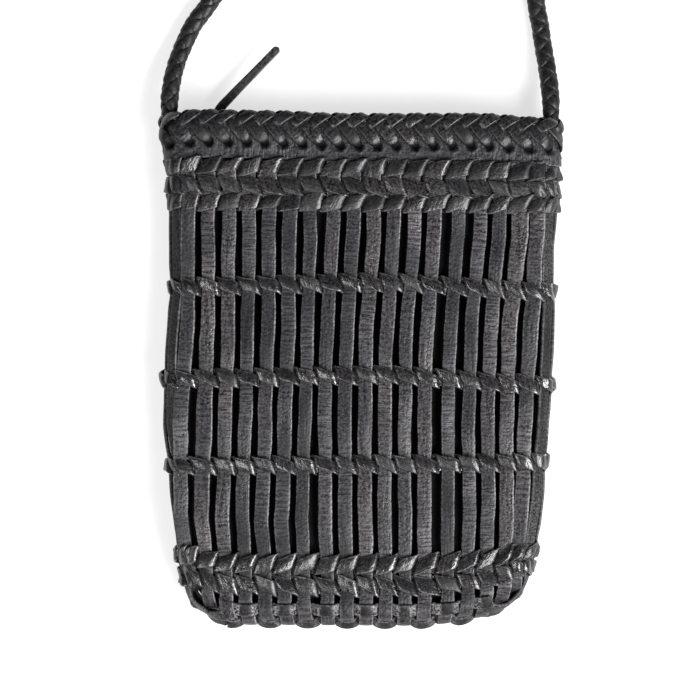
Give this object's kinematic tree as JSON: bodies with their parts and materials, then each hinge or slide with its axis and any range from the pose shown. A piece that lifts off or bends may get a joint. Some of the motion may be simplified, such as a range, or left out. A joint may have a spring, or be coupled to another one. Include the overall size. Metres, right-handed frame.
{
  "type": "woven leather bag",
  "caption": "Flat leather bag of upright strips held by twined rows, with a laced rim, a fabric pouch inside and a braided shoulder strap.",
  "frame": {"origin": "middle of the flat back of the rim lacing, on the surface that the bag lies on", "axes": "+X to the right across the front, +Y from the base to the mouth and the strap, +Z out of the front face"},
  "size_m": [0.2038, 0.7583, 0.0288],
  "materials": {
    "leather": "satin",
    "lace_leather": "satin",
    "fabric": "matte"
  },
  "bodies": {
    "root": {"upright_01": "leather", "upright_02": "leather", "upright_03": "leather", "upright_04": "leather", "upright_05": "leather", "upright_06": "leather", "upright_07": "leather", "upright_08": "leather", "upright_09": "leather", "upright_10": "leather", "upright_11": "leather", "upright_12": "leather", "upright_13": "leather", "upright_14": "leather", "upright_15": "leather", "upright_16": "leather", "upright_17": "leather", "upright_18": "leather", "base_strip_front": "leather", "base_strip_middle": "leather", "base_strip_back": "leather", "rim_band": "leather", "pull_thong": "leather", "twine_row_1_a": "lace_leather", "twine_row_1_b": "lace_leather", "twine_row_2_a": "lace_leather", "twine_row_2_b": "lace_leather", "twine_row_3_a": "lace_leather", "twine_row_3_b": "lace_leather", "twine_base_upper_a": "lace_leather", "twine_base_upper_b": "lace_leather", "twine_base_lower_a": "lace_leather", "twine_base_lower_b": "lace_leather", "twine_top_band": "lace_leather", "rim_lacing": "lace_leather", "strap": "lace_leather", "lining_pouch": "fabric"}
  },
  "joints": []
}
